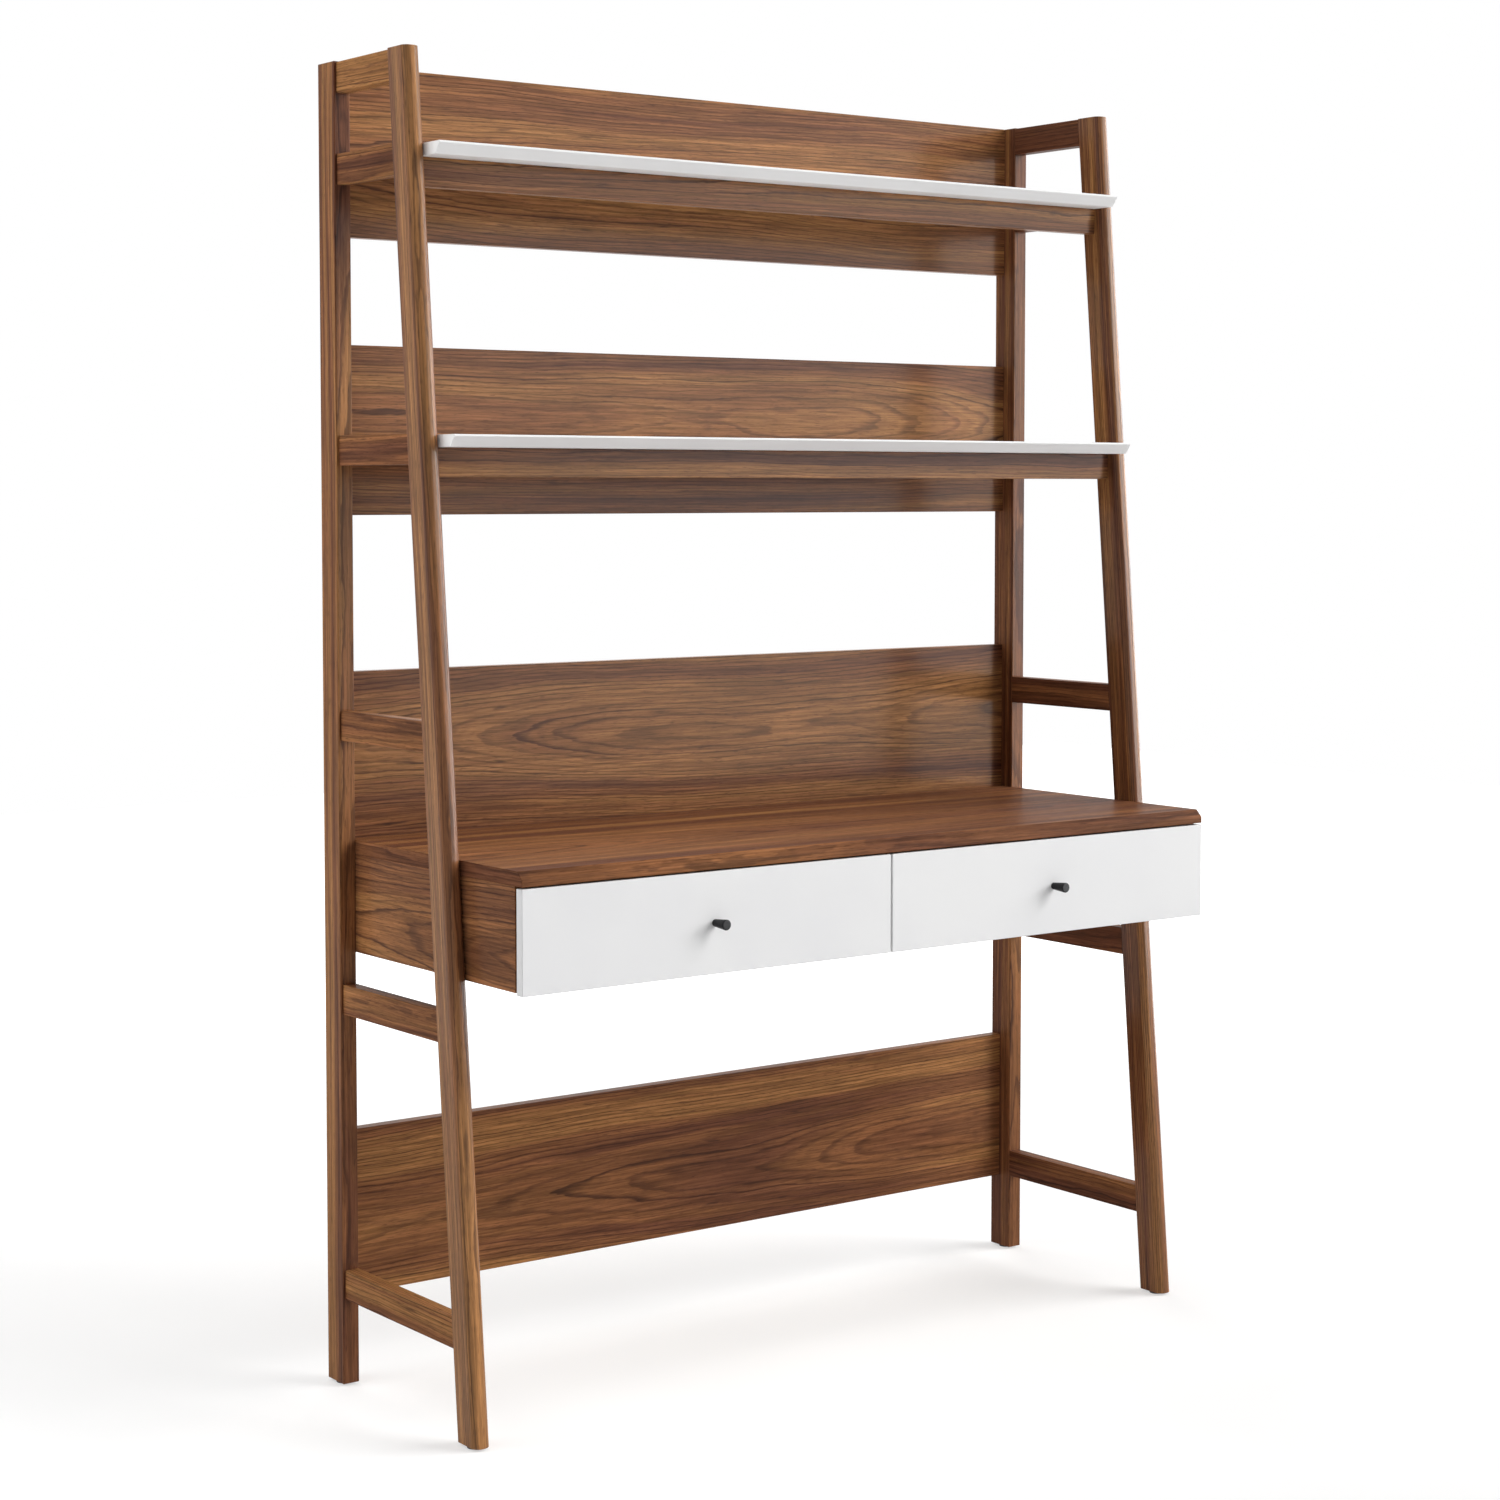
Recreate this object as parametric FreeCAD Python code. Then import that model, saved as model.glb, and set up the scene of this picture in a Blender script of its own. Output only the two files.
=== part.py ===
import FreeCAD, Part
import math
import os
from FreeCAD import Vector

# Ladder desk, in millimetres. X runs to the right, Y to the rear and Z up.
# "Forward" is a distance in front of the plane of the rear legs' rear faces.

# Frame
overall_width = 1219.0
desk_height = 737.0
lower_shelf_rise = 535.5
upper_shelf_rise = 368.0
leg_rise = 122.5
frame_depth_floor = 381.0
frame_depth_top = 226.0
leg_width = 24.0
leg_depth = 43.0
front_leg_round = 10.0
leg_edge_round = 1.5
leg_end_round = 1.0
glide_height = 3.0
glide_inset = 2.0
glide_edge = 0.8
glide_pin_diameter = 3.0
glide_pin_length = 14.0

# Side rails
rail_thickness = 20.0
rail_height = 40.0
rail_edge_round = 1.2
top_rail_drop = 1.0
shelf_rail_rise = 2.0
middle_rail_rise = 173.0
desk_rail_gap = 42.0
foot_rail_top = 158.0

# Back panels
panel_thickness = 18.0
panel_height = 226.0
panel_rear_inset = 1.0
panel_edge_round = 1.0
foot_panel_bottom = 115.5
panel_housing = 3.0
panel_cam_spread = 70.0
panel_dowel_spread = 35.0
lower_panel_overlap = 103.5

# Shelves and their aprons
shelf_thickness = 16.0
shelf_overhang = 34.0
shelf_bevel = 10.0
shelf_lip = 2.5
shelf_edge_round = 0.6
shelf_dowel_inset = 35.0
shelf_rear_dowel_spread = 350.0
apron_height = 37.5
apron_thickness = 18.0
apron_setback = 18.0
apron_bolt_rise = 10.5
apron_dowel_spread = 330.0

# Desk top and case
desk_depth = 456.0
desk_top_thickness = 19.0
desk_top_chamfer_depth = 10.0
desk_top_chamfer_drop = 10.0
desk_top_edge_round = 0.8
case_side_height = 132.0
case_side_thickness = 18.0
case_bottom_thickness = 10.0
case_bottom_rise = 6.0
case_back_thickness = 10.0
case_divider_thickness = 18.0
case_housing = 6.0
case_edge_round = 0.6
case_cam_rear = 130.0
case_cam_front = 96.0
case_dowel_offset = 30.0
case_bolt_rise = 10.0
case_bolt_drop = 16.0
rear_bolt_inset = 12.0

# Drawers
drawer_front_thickness = 13.0
drawer_front_drop = 3.0
drawer_top_gap = 2.5
drawer_centre_gap = 3.0
drawer_rear_gap = 3.0
drawer_edge_round = 1.0
drawer_wall = 12.0
drawer_wall_round = 1.0
drawer_bottom_thickness = 5.0
drawer_bottom_rise = 8.0
drawer_floor_gap = 8.0
drawer_head_gap = 14.0
drawer_housing = 5.0
drawer_back_inset = 10.0

# Knobs and their screws
knob_length = 26.0
knob_base_diameter = 9.4
knob_end_diameter = 14.0
knob_end_round = 1.6
knob_screw_diameter = 4.0
knob_screw_reach = 12.0
knob_screw_head_diameter = 8.0
knob_screw_head_height = 2.5

# Two-part ball-bearing runners
runner_wall = 1.2
runner_height = 35.0
runner_lip = 0.9
runner_front_setback = 2.5
runner_rear_room = 25.0
runner_side_gap = 1.5
runner_stop_length = 3.0
runner_stop_height = 8.0
ball_diameter = 3.5
ball_clearance = 0.3
ball_side_clearance = 0.35
balls_per_row = 6
cage_wall = 0.6
cage_length = 110.0
cage_screw_clearance = 0.4
cage_flange_clearance = 0.8
cage_ball_clearance = 0.15

# Fasteners
dowel_diameter = 8.0
dowel_length = 30.0
dowel_shallow_depth = 11.0
cam_distance = 34.0
cam_diameter = 15.0
cam_below_axis = 5.5
cam_recess = 0.3
cam_pocket_reach = 3.5
cam_slot_length = 9.0
cam_slot_width = 1.6
cam_slot_depth = 2.5
cam_thread_diameter = 8.0
cam_thread_depth = 11.0
cam_shank_diameter = 5.0
cam_head_diameter = 6.6
cam_head_length = 4.0
bolt_diameter = 6.0
bolt_grip = 18.0
bolt_head_diameter = 12.0
bolt_head_height = 3.5
bolt_socket_width = 5.0
bolt_socket_depth = 2.2
case_screw_diameter = 3.5
case_screw_length = 30.0
case_screw_head_diameter = 7.0
case_screw_head_height = 2.2
runner_screw_diameter = 3.5
runner_screw_length = 10.0
runner_screw_head_diameter = 7.0
runner_screw_head_height = 1.6
runner_screw_inset = 30.0
runner_screw_stagger = 12.0
driver_recess_length = 3.8
driver_recess_width = 0.9
driver_recess_depth = 1.0

# Clearances
hole_clearance = 0.1
hole_end_gap = 0.5
housing_clearance = 0.2

# Heights that follow
lower_shelf_top = desk_height + lower_shelf_rise
upper_shelf_top = lower_shelf_top + upper_shelf_rise
overall_height = upper_shelf_top + leg_rise
case_top = desk_height - desk_top_thickness
case_foot = case_top - case_side_height
case_floor = case_foot + case_bottom_rise + case_bottom_thickness

# Distances forward that follow
overall_depth = desk_depth + knob_length
rear_plane = overall_depth / 2
panel_front = panel_rear_inset + panel_thickness
case_back_front = panel_rear_inset + case_back_thickness
drawer_front_rear = desk_depth - drawer_front_thickness
case_front = drawer_front_rear - drawer_rear_gap
runner_front = case_front - runner_front_setback
runner_rear = case_back_front + runner_rear_room
leg_lean = (frame_depth_floor - frame_depth_top) / overall_height

# Distances from the middle that follow
inner_x = overall_width / 2 - leg_width
rail_middle_x = inner_x + rail_thickness / 2
case_inner_x = inner_x - case_side_thickness
case_side_middle_x = inner_x - case_side_thickness / 2

# Runner section that follows, measured into the drawer's bay from the wall that carries the runner
cage_reach = runner_wall + runner_screw_head_height + cage_screw_clearance
drawer_flange_reach = cage_reach + cage_wall + cage_flange_clearance
ball_reach = drawer_flange_reach + runner_wall + ball_side_clearance + ball_diameter / 2
case_flange_reach = ball_reach + ball_diameter / 2 + ball_side_clearance + runner_wall
runner_width = case_flange_reach + runner_side_gap
ball_space = ball_diameter + 2 * ball_clearance
drawer_flange_height = runner_height / 2 - runner_wall - ball_space
ball_height = drawer_flange_height + ball_space / 2

# Drawer box that follows
drawer_box_bottom = case_floor + drawer_floor_gap
drawer_box_top = case_top - drawer_head_gap
runner_middle = (drawer_box_bottom + drawer_box_top) / 2
drawer_front_top = case_top - drawer_top_gap
drawer_front_bottom = case_foot - drawer_front_drop
knob_height = (drawer_front_top + drawer_front_bottom) / 2

RIGHT = Vector(1, 0, 0)
REAR = Vector(0, 1, 0)
FRONT = Vector(0, -1, 0)
UP = Vector(0, 0, 1)
DOWN = Vector(0, 0, -1)
SIDES = {"left": -1, "right": 1}
SLANT_SLACK = 0.03
RAIL_DOWEL_SHARES = (0.25, 0.75)
DIVIDER_SCREW_SHARES = (0.35, 0.8)
BOTTOM_SCREW_SHARES = (-0.8, -0.3, 0.3, 0.8)
SOCKET_SIDES = 6

pieces = {}
groups = {}
cuts = {}


# Building blocks
def place(x, forward, z):
    """A point at x, so far forward of the rear plane, at height z."""
    return Vector(x, rear_plane - forward, z)


def block(x, forward, z):
    """A box between two values of x, two distances forward and two heights."""
    size = [max(pair) - min(pair) for pair in (x, forward, z)]
    return Part.makeBox(*size, place(min(x), max(forward), min(z)))


def grown(pair, play):
    """The same two values, moved apart by the play at each end."""
    return (min(pair) - play, max(pair) + play)


def prism(outline, x):
    """A solid between two values of x with a side outline of (forward, height) corners."""
    corners = [place(min(x), forward, z) for forward, z in outline]
    face = Part.Face(Part.makePolygon(corners + corners[:1]))
    return face.extrude(RIGHT * (max(x) - min(x)))


def rod(start, direction, diameter, length):
    return Part.makeCylinder(diameter / 2, length, start, direction)


def runs_along(edge, direction):
    """Whether an edge is straight and runs along a direction of length 1."""
    if edge.Curve.TypeId != "Part::GeomLine":
        return False
    return edge.Curve.Direction.cross(direction).Length < SLANT_SLACK


def eased(solid, radius, direction, wanted=lambda middle: True):
    """The solid with the edges that run along a direction rounded, where their middles are wanted."""
    edges = [edge for edge in solid.Edges if runs_along(edge, direction) and wanted(edge.CenterOfMass)]
    return solid.makeFillet(radius, edges)


def eased_all(solid, radius):
    return solid.makeFillet(radius, solid.Edges)


def eased_ends(solid, radius):
    """The solid with the edges of its level top and bottom rounded."""
    heights = (solid.BoundBox.ZMin, solid.BoundBox.ZMax)
    edges = []
    for edge in solid.Edges:
        box = edge.BoundBox
        if box.ZLength < radius and min(abs(box.ZMin - height) for height in heights) < radius:
            edges.append(edge)
    return solid.makeFillet(radius, edges)


def join(*solids):
    return solids[0].fuse(list(solids[1:])).removeSplitter()


def drill(tool, *names):
    """Takes a tool's shape out of each named piece when the pieces are saved."""
    for name in names:
        cuts.setdefault(name, []).append(tool)


def gather(group, solid):
    groups.setdefault(group, []).append(solid)


def housed(name, x, forward, z, *carriers):
    """A box piece that sits in a groove of each of its carriers."""
    pieces[name] = block(x, forward, z)
    spans = [grown(pair, housing_clearance) for pair in (x, forward, z)]
    drill(block(*spans), *carriers)


# Joints of the frame
def dowel(at, direction, shallow, deep):
    """A dowel across a meeting face, pointing out of the shallow piece into the deep one."""
    start = at - direction * dowel_shallow_depth
    gather("wood_dowels", rod(start, direction, dowel_diameter, dowel_length))
    mouth = start - direction * hole_end_gap
    hole_length = dowel_length + 2 * hole_end_gap
    drill(rod(mouth, direction, dowel_diameter + hole_clearance, hole_length), shallow, deep)


def slot_bar(at, along, direction, length, width, depth):
    """A straight driver slot, cut from a head's face."""
    half_length = along * (length / 2)
    half_width = along.cross(direction) * (width / 2)
    corners = [at + half_length + half_width, at + half_length - half_width]
    corners += [at - half_length - half_width, at - half_length + half_width]
    face = Part.Face(Part.makePolygon(corners + corners[:1]))
    return face.extrude(direction * depth)


def square_to(direction):
    """One of the main directions that is square to an upright or level direction."""
    return UP if abs(direction.z) < SLANT_SLACK else RIGHT


def cross_recess(at, direction):
    """The cross-shaped driver recess of a screw, cut from its head's face."""
    first = square_to(direction)
    size = (driver_recess_length, driver_recess_width, driver_recess_depth)
    return join(*[slot_bar(at, along, direction, *size) for along in (first, first.cross(direction))])


def hex_socket(at, direction):
    """The six-sided driver socket of a bolt, cut from its head's face."""
    first = square_to(direction)
    second = first.cross(direction)
    reach = bolt_socket_width / 2 / math.cos(math.pi / SOCKET_SIDES)
    corners = []
    for number in range(SOCKET_SIDES):
        turn = 2 * math.pi * number / SOCKET_SIDES
        corners.append(at + first * (reach * math.cos(turn)) + second * (reach * math.sin(turn)))
    face = Part.Face(Part.makePolygon(corners + corners[:1]))
    return face.extrude(direction * bolt_socket_depth)


def cam_joint(at, inward, face_out, thickness, board, post):
    """A cam bolt in a post, and the cam disc in a board that draws the board to the post."""
    thread = rod(at - inward * cam_thread_depth, inward, cam_thread_diameter, cam_thread_depth)
    shank = rod(at, inward, cam_shank_diameter, cam_distance)
    head_start = at + inward * (cam_distance - cam_head_length / 2)
    head = rod(head_start, inward, cam_head_diameter, cam_head_length)
    gather("cam_bolts", join(thread, shank, head))
    thread_hole_depth = cam_thread_depth + hole_end_gap
    thread_end = at - inward * thread_hole_depth
    drill(rod(thread_end, inward, cam_thread_diameter + hole_clearance, thread_hole_depth), post)
    drill(rod(at, inward, cam_head_diameter + hole_clearance, cam_distance), board)

    centre = at + inward * cam_distance
    board_face = centre + face_out * (thickness / 2)
    into = face_out * -1
    depth = thickness / 2 + cam_below_axis
    disc = rod(board_face + into * cam_recess, into, cam_diameter, depth - cam_recess)
    pocket_start = centre + inward * cam_pocket_reach
    pocket = rod(pocket_start, inward * -1, cam_head_diameter + 2 * hole_clearance, cam_diameter)
    slot_size = (cam_slot_length, cam_slot_width, cam_slot_depth)
    slot = slot_bar(board_face + into * cam_recess, inward, into, *slot_size)
    gather("cam_discs", disc.cut([pocket, slot]))
    drill(rod(board_face, into, cam_diameter + hole_clearance, depth + hole_end_gap), board)


def leg_bolt(at, outward, side, leg):
    """A bolt from inside the case, through a case side, into a leg."""
    length = case_side_thickness + bolt_grip
    head_face = at - outward * bolt_head_height
    head = rod(head_face, outward, bolt_head_diameter, bolt_head_height)
    bolt = join(head, rod(at, outward, bolt_diameter, length))
    gather("leg_bolts", bolt.cut(hex_socket(head_face, outward)))
    drill(rod(at, outward, bolt_diameter + hole_clearance, length + hole_end_gap), side, leg)


def case_screw(at, direction, outer, inner):
    """A countersunk screw, flush with the outer piece, that holds it to the inner one."""
    wide = case_screw_head_diameter / 2
    narrow = case_screw_diameter / 2
    play = hole_clearance / 2
    head = Part.makeCone(wide, narrow, case_screw_head_height, at, direction)
    screw = join(head, rod(at, direction, case_screw_diameter, case_screw_length))
    gather("case_screws", screw.cut(cross_recess(at, direction)))
    seat = Part.makeCone(wide + play, narrow + play, case_screw_head_height, at, direction)
    hole = rod(at, direction, case_screw_diameter + hole_clearance, case_screw_length + hole_end_gap)
    drill(join(seat, hole), outer, inner)


# Front legs lean, so their faces depend on the height
def leg_front(z):
    return frame_depth_floor - leg_lean * z


def leg_back(z):
    return leg_front(z) - leg_depth


def make_leg(x, forward, run, front_round):
    """A leg that stands on a level section and follows a run up to its level top."""
    corners = [place(x[0], forward[0], glide_height), place(x[1], forward[0], glide_height)]
    corners += [place(x[1], forward[1], glide_height), place(x[0], forward[1], glide_height)]
    leg = Part.Face(Part.makePolygon(corners + corners[:1])).extrude(run)
    direction = Vector(run).normalize()
    middle_y = leg.CenterOfMass.y
    leg = eased(leg, front_round, direction, lambda middle: middle.y < middle_y)
    leg = eased(leg, leg_edge_round, direction, lambda middle: middle.y > middle_y)
    return eased_ends(leg, leg_end_round)


def make_legs():
    height = overall_height - glide_height
    front_round = min(front_leg_round, leg_width / 2 - leg_edge_round)
    lean_run = UP * height + REAR * (leg_lean * height)
    for side, sign in SIDES.items():
        x = (sign * inner_x, sign * (inner_x + leg_width))
        pieces[f"rear_leg_{side}"] = make_leg(x, (0, leg_depth), UP * height, leg_edge_round)
        span = (leg_back(glide_height), leg_front(glide_height))
        pieces[f"front_leg_{side}"] = make_leg(x, span, lean_run, front_round)


def make_glides():
    diameter = leg_width - 2 * glide_inset
    middles = {"rear_leg": leg_depth / 2, "front_leg": leg_front(glide_height) - leg_depth / 2}
    for side, sign in SIDES.items():
        for leg, forward in middles.items():
            foot = place(sign * (inner_x + leg_width / 2), forward, 0)
            pad = rod(foot, UP, diameter, glide_height)
            rim = [edge for edge in pad.Edges if edge.BoundBox.ZMax < glide_edge]
            top = foot + UP * glide_height
            pin = rod(top, UP, glide_pin_diameter, glide_pin_length)
            gather("foot_glides", join(pad.makeFillet(glide_edge, rim), pin))
            hole_length = glide_pin_length + hole_end_gap
            drill(rod(top, UP, glide_pin_diameter + hole_clearance, hole_length), f"{leg}_{side}")


RAIL_TOPS = {
    "top_rail": overall_height - top_rail_drop,
    "upper_shelf_rail": upper_shelf_top + shelf_rail_rise,
    "lower_shelf_rail": lower_shelf_top + shelf_rail_rise,
    "middle_rail": desk_height + middle_rail_rise,
    "desk_rail": case_foot - desk_rail_gap,
    "foot_rail": foot_rail_top,
}


def make_rails():
    for side, sign in SIDES.items():
        x = (sign * inner_x, sign * (inner_x + rail_thickness))
        for rail, top in RAIL_TOPS.items():
            foot = top - rail_height
            outline = [(leg_depth, foot), (leg_depth, top), (leg_back(top), top), (leg_back(foot), foot)]
            name = f"{rail}_{side}"
            pieces[name] = eased(prism(outline, x), rail_edge_round, REAR)
            for share in RAIL_DOWEL_SHARES:
                z = foot + rail_height * share
                dowel(place(sign * rail_middle_x, leg_depth, z), FRONT, f"rear_leg_{side}", name)
                dowel(place(sign * rail_middle_x, leg_back(z), z), REAR, f"front_leg_{side}", name)


PANEL_BOTTOMS = {
    "upper_back_panel": overall_height - panel_height,
    "lower_back_panel": lower_shelf_top - lower_panel_overlap,
    "desk_back_panel": desk_height - panel_housing,
    "foot_back_panel": foot_panel_bottom,
}


def make_back_panels():
    forward = (panel_rear_inset, panel_front)
    middle = panel_rear_inset + panel_thickness / 2
    for name, bottom in PANEL_BOTTOMS.items():
        z = (bottom, bottom + panel_height)
        pieces[name] = eased(block((-inner_x, inner_x), forward, z), panel_edge_round, RIGHT)
        centre = bottom + panel_height / 2
        for side, sign in SIDES.items():
            leg = f"rear_leg_{side}"
            for updown in (-1, 1):
                cam_at = place(sign * inner_x, middle, centre + updown * panel_cam_spread)
                cam_joint(cam_at, RIGHT * -sign, REAR, panel_thickness, name, leg)
                dowel_at = place(sign * inner_x, middle, centre + updown * panel_dowel_spread)
                dowel(dowel_at, RIGHT * -sign, leg, name)


def make_shelf(level, top):
    """A shelf board between the side frames, with the apron under its front."""
    shelf = f"{level}_shelf"
    apron = f"{level}_shelf_apron"
    panel = f"{level}_back_panel"
    bottom = top - shelf_thickness
    front = leg_front(top) + shelf_overhang
    outline = [(panel_front, bottom), (panel_front, top), (front, top), (front, top - shelf_lip)]
    outline.append((front - shelf_bevel, bottom))
    pieces[shelf] = eased_all(prism(outline, (-inner_x, inner_x)), shelf_edge_round)
    shelf_middle = bottom + shelf_thickness / 2

    apron_bottom = bottom - apron_height
    apron_front = leg_front(bottom - apron_height / 2) - apron_setback
    apron_middle = apron_front - apron_thickness / 2
    apron_depth = (apron_front - apron_thickness, apron_front)
    apron_box = block((-inner_x, inner_x), apron_depth, (apron_bottom, bottom))
    pieces[apron] = eased(apron_box, panel_edge_round, RIGHT)

    rail_ends = (leg_depth, leg_back(shelf_middle))
    for side, sign in SIDES.items():
        inward = RIGHT * -sign
        rail = f"{level}_shelf_rail_{side}"
        for forward in (rail_ends[0] + shelf_dowel_inset, rail_ends[1] - shelf_dowel_inset):
            dowel(place(sign * inner_x, forward, shelf_middle), inward, rail, shelf)
        cam_at = place(sign * inner_x, sum(rail_ends) / 2, shelf_middle)
        cam_joint(cam_at, inward, DOWN, shelf_thickness, shelf, rail)
        bolt_at = place(sign * inner_x, apron_middle, apron_bottom + apron_bolt_rise)
        cam_joint(bolt_at, inward, REAR, apron_thickness, apron, f"front_leg_{side}")
    for step in (-1, 0, 1):
        dowel(place(step * shelf_rear_dowel_spread, panel_front, shelf_middle), FRONT, panel, shelf)
        dowel(place(step * apron_dowel_spread, apron_middle, bottom), DOWN, shelf, apron)


def make_desk_top():
    chamfer_back = desk_depth - desk_top_chamfer_depth
    chamfer_foot = desk_height - desk_top_chamfer_drop
    outline = [(panel_rear_inset, case_top), (panel_rear_inset, desk_height), (chamfer_back, desk_height)]
    outline += [(desk_depth, chamfer_foot), (desk_depth, case_top)]
    pieces["desk_top"] = eased_all(prism(outline, (-inner_x, inner_x)), desk_top_edge_round)
    rebate = ((panel_rear_inset, panel_front), (desk_height - panel_housing, desk_height))
    spans = [grown(pair, housing_clearance) for pair in rebate]
    drill(block(grown((-inner_x, inner_x), housing_clearance), *spans), "desk_top")


def make_case():
    """The box that holds the drawers, under the desk top and between the legs."""
    depth = (panel_rear_inset, case_front)
    inside = (case_back_front, case_front)
    cams = (case_cam_rear, case_front - case_cam_front)
    bolt_heights = (case_floor + case_bolt_rise, case_top - case_bolt_drop)
    for side, sign in SIDES.items():
        name = f"case_side_{side}"
        board = block((sign * case_inner_x, sign * inner_x), depth, (case_foot, case_top))
        pieces[name] = eased_all(board, case_edge_round)
        for forward in cams:
            middle = place(sign * case_side_middle_x, forward, case_top)
            cam_joint(middle, DOWN, RIGHT * -sign, case_side_thickness, name, "desk_top")
            dowel(middle + FRONT * case_dowel_offset, DOWN, "desk_top", name)
        for z in bolt_heights:
            rear_at = place(sign * case_inner_x, leg_depth - rear_bolt_inset, z)
            leg_bolt(rear_at, RIGHT * sign, name, f"rear_leg_{side}")
            front_at = place(sign * case_inner_x, leg_front(z) - leg_depth / 2, z)
            leg_bolt(front_at, RIGHT * sign, name, f"front_leg_{side}")

    housing_x = case_inner_x + case_housing
    bottom_z = (case_foot + case_bottom_rise, case_floor)
    back_depth = (panel_rear_inset, case_back_front)
    housed("case_bottom", (-housing_x, housing_x), inside, bottom_z, "case_side_left", "case_side_right")
    housed("case_back", (-housing_x, housing_x), back_depth, (case_foot, case_top),
           "case_side_left", "case_side_right")
    half_divider = case_divider_thickness / 2
    divider = block((-half_divider, half_divider), inside, (case_floor, case_top))
    pieces["case_divider"] = eased_all(divider, case_edge_round)
    pieces["case_bottom"] = eased(pieces["case_bottom"], case_edge_round, RIGHT)

    for forward in cams:
        dowel(place(0, forward, case_top), DOWN, "desk_top", "case_divider")
        case_screw(place(0, forward, bottom_z[0]), UP, "case_bottom", "case_divider")
    for share in DIVIDER_SCREW_SHARES:
        z = case_floor + (case_top - case_floor) * share
        case_screw(place(0, panel_rear_inset, z), FRONT, "case_back", "case_divider")
    for share in BOTTOM_SCREW_SHARES:
        at = place(share * case_inner_x, panel_rear_inset, sum(bottom_z) / 2)
        case_screw(at, FRONT, "case_back", "case_bottom")


# Runners: reach is measured from the wall that carries the runner into the drawer's bay
def runner_box(wall, into, reach, forward, z):
    heights = [runner_middle + value for value in z]
    return block([wall + into * value for value in reach], forward, heights)


def runner_channel(wall, into, web, flange, lip, half_height, lip_height):
    """A channel of the runner's full length, with a web, two flanges and a lip on each flange."""
    length = (runner_rear, runner_front)
    solids = [runner_box(wall, into, web, length, (-half_height, half_height))]
    for updown in (-1, 1):
        inner = updown * (half_height - runner_wall)
        solids.append(runner_box(wall, into, flange, length, (inner, updown * half_height)))
        solids.append(runner_box(wall, into, lip, length, (inner, updown * lip_height)))
    return solids


def runner_screw(group, wall, into, head_reach, tip_sign, forward, carriers):
    """A pan-head screw through a runner's web, into the wall on the web's far side."""
    direction = RIGHT * (into * tip_sign)
    head_face = place(wall + into * head_reach, forward, runner_middle)
    head_start = head_face - direction * runner_screw_head_height
    head = rod(head_start, direction, runner_screw_head_diameter, runner_screw_head_height)
    screw = join(head, rod(head_face, direction, runner_screw_diameter, runner_screw_length))
    gather(group, screw.cut(cross_recess(head_start, direction)))
    hole_length = runner_screw_length + hole_end_gap
    drill(rod(head_face, direction, runner_screw_diameter + hole_clearance, hole_length), *carriers)


def make_ball_cage(group, wall, into):
    middle = (runner_rear + runner_front) / 2
    length = (middle - cage_length / 2, middle + cage_length / 2)
    outer = ball_height + cage_wall / 2
    inner = ball_height - cage_wall / 2
    web = (cage_reach, cage_reach + cage_wall)
    flange = (cage_reach, case_flange_reach - runner_wall - cage_screw_clearance)
    solids = [runner_box(wall, into, web, length, (-outer, outer))]
    holes = []
    for updown in (-1, 1):
        solids.append(runner_box(wall, into, flange, length, (updown * inner, updown * outer)))
        for number in range(balls_per_row):
            forward = length[0] + cage_length * (number + 0.5) / balls_per_row
            centre = place(wall + into * ball_reach, forward, runner_middle + updown * ball_height)
            gather(group, Part.makeSphere(ball_diameter / 2, centre))
            hole_diameter = ball_diameter + 2 * cage_ball_clearance
            holes.append(rod(centre - UP * cage_wall, UP, hole_diameter, 2 * cage_wall))
    gather(group, join(*solids).cut(holes))


def make_runner(drawer, wall, into, wall_piece, drawer_piece, stagger):
    """One runner of a drawer: a case channel, a drawer channel, and the ball cage between them."""
    case_group = f"{drawer}_case_runners"
    drawer_group = f"{drawer}_drawer_runners"
    stop = (-runner_stop_height / 2, runner_stop_height / 2)

    case_lip = (case_flange_reach - runner_wall, case_flange_reach)
    lip_foot = runner_height / 2 - runner_wall - runner_lip
    case_solids = runner_channel(wall, into, (0, runner_wall), (0, case_flange_reach), case_lip,
                                 runner_height / 2, lip_foot)
    front_end = (runner_front - runner_stop_length, runner_front)
    case_solids.append(runner_box(wall, into, (0, cage_reach + cage_wall), front_end, stop))
    case_channel = join(*case_solids)

    drawer_web = (runner_width - runner_wall, runner_width)
    drawer_lip = (drawer_flange_reach, drawer_flange_reach + runner_wall)
    drawer_solids = runner_channel(wall, into, drawer_web, (drawer_flange_reach, runner_width), drawer_lip,
                                   drawer_flange_height, drawer_flange_height + runner_lip)
    rear_end = (runner_rear, runner_rear + runner_stop_length)
    drawer_solids.append(runner_box(wall, into, (cage_reach, runner_width), rear_end, stop))
    drawer_channel = join(*drawer_solids)

    for forward in (runner_rear + runner_screw_inset, (runner_rear + runner_front) / 2,
                    runner_front - runner_screw_inset):
        at = forward + stagger
        runner_screw("case_runner_screws", wall, into, runner_wall, -1, at, (case_group, wall_piece))
        runner_screw(f"{drawer}_drawer_runner_screws", wall, into, runner_width - runner_wall, 1, at,
                     (drawer_group, drawer_piece))
    gather(case_group, case_channel)
    gather(drawer_group, drawer_channel)
    make_ball_cage(f"{drawer}_ball_cages", wall, into)


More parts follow.
